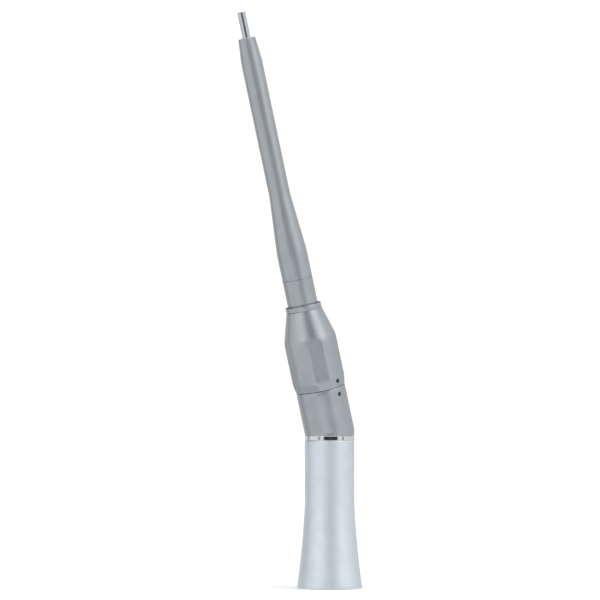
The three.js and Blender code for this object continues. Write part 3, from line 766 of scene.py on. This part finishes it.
# ---- Alignment marks ----------------------------------------------------------------------
def make_mark(node, surface, height):
    """A dot of paint that follows the surface under it and stands a hair proud of it.

    surface(height) is the radius of the surface that the dot lies on.
    """
    rings, around = 8, 40
    proud, sunk, bevel = 0.02, 0.12, 0.02
    crease_shading = math.radians(50)

    def point(row, column):
        radius, depth, _ = row
        angle = 2 * math.pi * column / around
        across, up = radius * math.cos(angle), radius * math.sin(angle)
        reach = surface(height + up) + depth
        axis_angle = MARK_ANGLE + across / surface(height)
        return Vector((reach * math.cos(axis_angle), reach * math.sin(axis_angle), height + up))

    rows = [(0, -sunk, 0), (MARK_R, -sunk, 0)]
    rows += [(MARK_R, 0, 0), (MARK_R - bevel, proud, 0)]
    rows += [((MARK_R - bevel) * (1 - i / rings), proud, 0) for i in range(1, rings + 1)]
    finish(node, skin(node, rows, around, point, crease_shading), FRONT)


def ring_surface(height):
    rise = (height - RING_BOTTOM) / (RING_CHAMFER_TOP - RING_BOTTOM)
    return HAND_R + (RING_R - HAND_R) * min(1.0, max(0.0, rise))


make_mark("body_mark", lambda height: HAND_R, BODY_MARK)
make_mark("ring_mark", ring_surface, RING_MARK)


# ---- Coil springs -------------------------------------------------------------------------
def make_spring(node, half):
    """A coil spring with the CAD node's own shape, body and finish. It keeps its length when the part behind it
    slides.
    """
    mesh = frame["nodes"][node].data.copy()
    mesh.transform(half.inverted())
    mesh.materials.clear()
    spring = finish(node, mesh, half)
    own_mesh(spring)


make_spring("dog_spring", REAR)
make_spring("chuck_spring", FRONT)

# ---- CAD nodes that keep their shape ------------------------------------------------------
for node, cad_object in frame["nodes"].items():
    if cad_object.hide_render:
        continue
    low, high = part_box(node)
    half = FRONT if (low.z + high.z) / 2 > BEND_Z * MM else REAR
    cad_object.data.materials.clear()
    cad_object.data.materials.append(material_for(slot_of[node], half))


# ---- Stage --------------------------------------------------------------------------------
# The floor's and the backdrop's sizes are in metres.
FLOOR_HALF_WIDTH = 8
BACKDROP_RADIUS = 5
BACKDROP_GLOW = 1.05
FLOOR_LIGHT_ANGLE = math.radians(140)
FLOOR_LIGHT_STRENGTH = 1.4


def only_seen_by(obj, *rays):
    for ray in ("camera", "diffuse", "glossy", "transmission", "volume_scatter", "shadow"):
        setattr(obj, f"visible_{ray}", ray in rays)


def add_floor():
    """A white floor that is clear from below, and that doesn't show in the metal."""
    size = FLOOR_HALF_WIDTH
    mesh = bpy.data.meshes.new("floor")
    corners = [(-size, -size, 0), (size, -size, 0), (size, size, 0), (-size, size, 0)]
    mesh.from_pydata(corners, [], [(0, 1, 2, 3)])
    floor = bpy.data.objects.new("floor", mesh)
    bpy.context.scene.collection.objects.link(floor)
    material, tree, shader, _ = start_material("floor")
    shader.inputs["Base Color"].default_value = (*grey(0.9), 1)
    shader.inputs["Roughness"].default_value = 1
    shader.inputs["Specular IOR Level"].default_value = 0
    clear = tree.node("ShaderNodeBsdfTransparent")
    sides = tree.node("ShaderNodeMixShader")
    tree.link(tree.node("ShaderNodeNewGeometry").outputs["Backfacing"], sides.inputs[0])
    tree.link(shader.outputs[0], sides.inputs[1])
    tree.link(clear.outputs[0], sides.inputs[2])
    tree.link(sides.outputs[0], material.node_tree.nodes["Material Output"].inputs[0])
    mesh.materials.append(material)
    floor.visible_glossy = False


def add_backdrop():
    """A white surround that only the camera sees."""
    mesh = bpy.data.meshes.new("backdrop")
    bm = bmesh.new()
    bmesh.ops.create_uvsphere(bm, u_segments=48, v_segments=24, radius=BACKDROP_RADIUS)
    bm.to_mesh(mesh)
    bm.free()
    backdrop = bpy.data.objects.new("backdrop", mesh)
    bpy.context.scene.collection.objects.link(backdrop)
    material = bpy.data.materials.new("backdrop")
    material.use_nodes = True
    tree = Tree(material.node_tree)
    material.node_tree.nodes.remove(material.node_tree.nodes["Principled BSDF"])
    glow = tree.node("ShaderNodeEmission")
    glow.inputs["Strength"].default_value = BACKDROP_GLOW
    tree.link(glow.outputs[0], material.node_tree.nodes["Material Output"].inputs[0])
    material.cycles.emission_sampling = "NONE"
    mesh.materials.append(material)
    only_seen_by(backdrop, "camera")


def add_floor_light():
    """Brings the floor up to white. It leaves the metal alone, which shows the light tent."""
    light = bpy.data.lights.new("floor_light", "SUN")
    light.angle = FLOOR_LIGHT_ANGLE
    light.energy = FLOOR_LIGHT_STRENGTH
    lamp = bpy.data.objects.new("floor_light", light)
    bpy.context.scene.collection.objects.link(lamp)
    only_seen_by(lamp, "diffuse", "shadow")


# The studio's soft panels. Bearings are in degrees from the camera's side, positive to its right,
# and rise is the height of a direction, from -1 straight down to 1 straight up.
# name: (bearing, rise, half width, half height, brightness)
PANELS = {
    "front_left": (-40, -0.05, 68, 0.32, 0.67),
    "front_right": (30, -0.1, 51, 0.32, 0.69),
    "high_left": (-45, 0.6, 20, 0.45, 0.81),
    "high_right": (55, 0.6, 21, 0.4, 1.13),
    "side_right": (100, 0.15, 14, 0.7, 0.55),
    "back_left": (-148, 0, 26, 0.3, 0.58),
    "back_right": (140, 0.1, 20, 0.6, 0.5),
    "table": (-10, -0.75, 166, 0.4, 0.55),
    "ceiling": (0, 0.95, 166, 0.18, 0.5),
}
# A panel fades over this many degrees and this much rise, to each side of its edge.
PANEL_SOFTNESS = 12
PANEL_SOFT_RISE = 0.12
# The light from everywhere else, from straight below to straight above.
FILL_BELOW = 0.06
FILL_ABOVE = 0.35

# The darker things that show in the steel: the screen where the camera stands, with the tripod
# under it and the boom over it, and a stand at each side.
# name: (bearing, half width, softness, lowest rise, highest rise, colour)
SCREENS = {
    "camera": (5, 33, 5, -0.05, 0.05, (0.01, 0.011, 0.017)),
    "tripod": (5, 26, 10, -0.27, -0.05, (0.14, 0.145, 0.17)),
    "boom": (6, 13, 8, 0.18, 0.42, (0.19, 0.19, 0.23)),
    "left_stand": (-50, 5, 4, -0.04, 0.07, (0.36, 0.38, 0.4)),
    "right_stand": (65, 4, 4, -0.04, 0.07, (0.36, 0.38, 0.4)),
}
SCREEN_SOFT_RISE = 0.04


def cosine(degrees):
    return math.cos(math.radians(degrees))


def add_light_tent():
    """A world of soft panels, less what the screens hide."""
    world = bpy.data.worlds.new("light_tent")
    bpy.context.scene.world = world
    world.use_nodes = True
    tree = Tree(world.node_tree)
    background = world.node_tree.nodes["Background"]
    direction = tree.node("ShaderNodeTexCoord").outputs["Generated"]
    turn = tree.node("ShaderNodeVectorRotate", rotation_type="Z_AXIS")
    tree.link(direction, turn.inputs["Vector"])
    turn.inputs["Angle"].default_value = -VIEW_AZIMUTH
    parts = tree.node("ShaderNodeSeparateXYZ")
    tree.link(turn.outputs[0], parts.inputs[0])
    towards = tree.math("MULTIPLY", parts.outputs["Y"], -1.0)
    bearing = tree.math("ARCTAN2", parts.outputs["X"], towards)
    rise = parts.outputs["Z"]

    def within(middle, half_width, softness):
        """1 within half_width of a bearing, fading to 0 outside it."""
        away = tree.math("COSINE", tree.math("SUBTRACT", bearing, math.radians(middle)))
        outer, inner = cosine(half_width + softness), cosine(half_width - softness)
        return tree.between(away, outer, inner, smooth=True)

    light = tree.between(rise, -1.0, 1.0, FILL_BELOW, FILL_ABOVE)
    for middle, height, half_width, half_height, brightness in PANELS.values():
        away = tree.math("ABSOLUTE", tree.math("SUBTRACT", rise, height))
        near, far = half_height - PANEL_SOFT_RISE, half_height + PANEL_SOFT_RISE
        across = within(middle, half_width, PANEL_SOFTNESS)
        upward = tree.between(away, near, far, brightness, 0.0, smooth=True)
        light = tree.math("ADD", light, tree.math("MULTIPLY", across, upward))
    fade = SCREEN_SOFT_RISE
    for middle, half_width, softness, low, high, colour in SCREENS.values():
        screen = within(middle, half_width, softness)
        over = tree.between(rise, low - fade, low + fade, smooth=True)
        under = tree.between(rise, high - fade, high + fade, 1.0, 0.0, smooth=True)
        screen = tree.math("MULTIPLY", screen, tree.math("MULTIPLY", over, under))
        light = tree.mix(screen, light, (*colour, 1))
    tree.link(light, background.inputs["Color"])


add_floor()
add_backdrop()
add_floor_light()
add_light_tent()
bpy.context.scene.view_settings.view_transform = "Standard"
